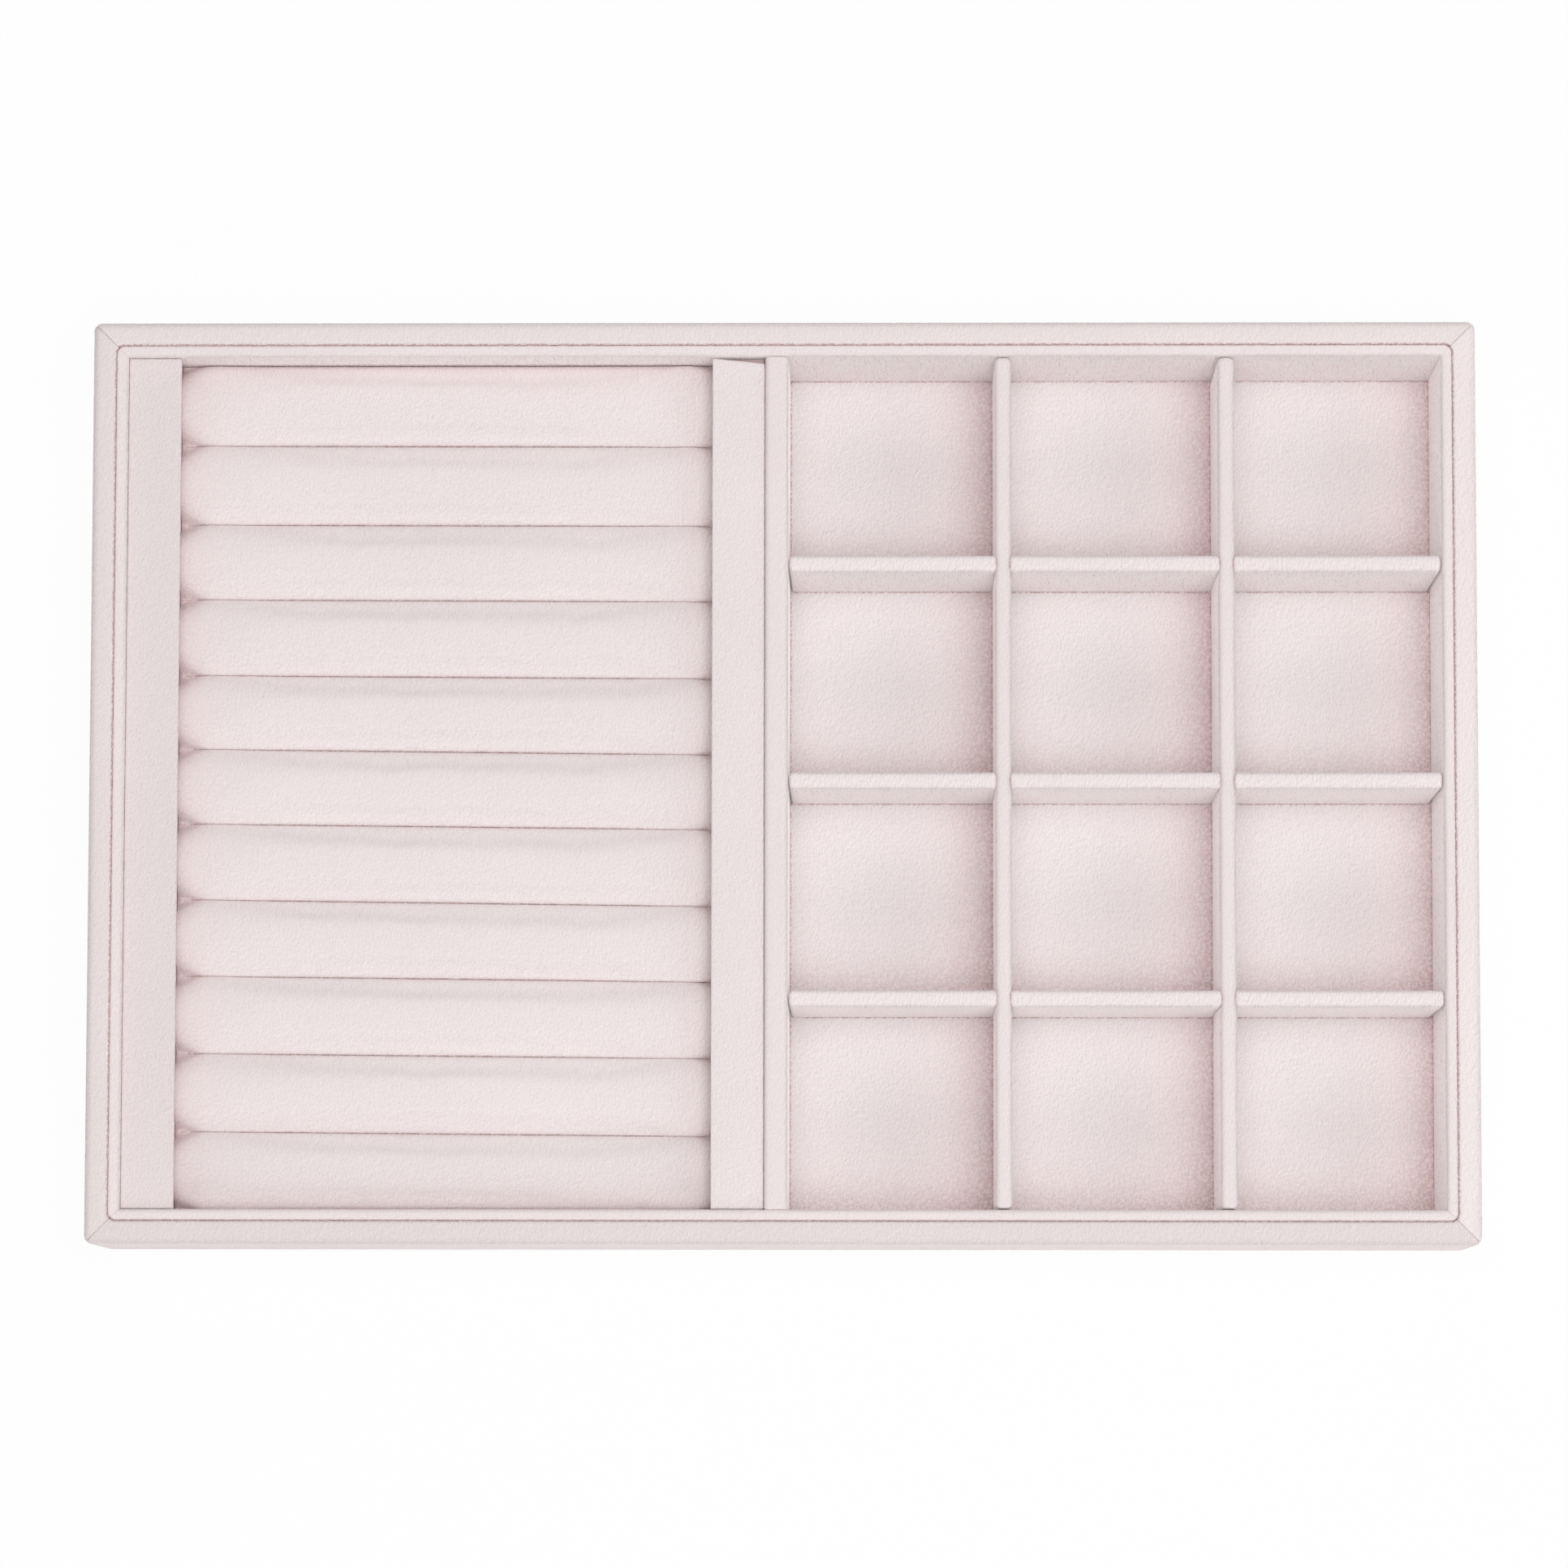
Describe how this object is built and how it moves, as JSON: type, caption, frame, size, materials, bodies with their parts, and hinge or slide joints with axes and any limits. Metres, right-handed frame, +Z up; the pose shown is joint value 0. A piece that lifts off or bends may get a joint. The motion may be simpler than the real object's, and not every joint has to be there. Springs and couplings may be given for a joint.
{
  "type": "jewelry tray",
  "caption": "Flat velvet-covered jewelry tray with a lift-out insert of padded ring rolls beside a lift-out grid of cross-lapped dividers forming open compartments.",
  "frame": {"origin": "middle of the underside, on the surface that the tray stands on", "axes": "+X to the right along the tray's length, ring rolls on the left; +Y to the back; +Z up"},
  "size_m": [0.3, 0.2, 0.04],
  "materials": {
    "velvet": "matte",
    "felt": "matte",
    "board": "matte",
    "card": "matte",
    "foam": "matte"
  },
  "bodies": {
    "tray": {"back_liner_card": "card", "back_liner_velvet": "velvet", "back_wall_board": "board", "back_wall_velvet": "velvet", "base_board": "board", "base_felt": "felt", "floor_velvet": "velvet", "front_liner_card": "card", "front_liner_velvet": "velvet", "front_wall_board": "board", "front_wall_velvet": "velvet", "left_liner_card": "card", "left_liner_velvet": "velvet", "left_wall_board": "board", "left_wall_velvet": "velvet", "partition_board": "board", "partition_velvet": "velvet", "right_liner_card": "card", "right_liner_velvet": "velvet", "right_wall_board": "board", "right_wall_velvet": "velvet"},
    "ring_insert": {"insert_board": "card", "left_cover_strip": "velvet", "left_end_block": "foam", "right_cover_strip": "velvet", "right_end_block": "foam", "ring_roll_01_foam": "foam", "ring_roll_01_sleeve": "velvet", "ring_roll_02_foam": "foam", "ring_roll_02_sleeve": "velvet", "ring_roll_03_foam": "foam", "ring_roll_03_sleeve": "velvet", "ring_roll_04_foam": "foam", "ring_roll_04_sleeve": "velvet", "ring_roll_05_foam": "foam", "ring_roll_05_sleeve": "velvet", "ring_roll_06_foam": "foam", "ring_roll_06_sleeve": "velvet", "ring_roll_07_foam": "foam", "ring_roll_07_sleeve": "velvet", "ring_roll_08_foam": "foam", "ring_roll_08_sleeve": "velvet", "ring_roll_09_foam": "foam", "ring_roll_09_sleeve": "velvet", "ring_roll_10_foam": "foam", "ring_roll_10_sleeve": "velvet", "ring_roll_11_foam": "foam", "ring_roll_11_sleeve": "velvet"},
    "divider_grid": {"cross_divider_back_card": "card", "cross_divider_back_velvet": "velvet", "cross_divider_front_card": "card", "cross_divider_front_velvet": "velvet", "cross_divider_middle_card": "card", "cross_divider_middle_velvet": "velvet", "long_divider_left_card": "card", "long_divider_left_velvet": "velvet", "long_divider_right_card": "card", "long_divider_right_velvet": "velvet"}
  },
  "joints": [
    {"name": "ring_insert_lift", "type": "slide", "parent": "tray", "child": "ring_insert", "axis": [0, 0, 1], "range_m": [0, 0.06]},
    {"name": "divider_grid_lift", "type": "slide", "parent": "tray", "child": "divider_grid", "axis": [0, 0, 1], "range_m": [0, 0.06]}
  ]
}
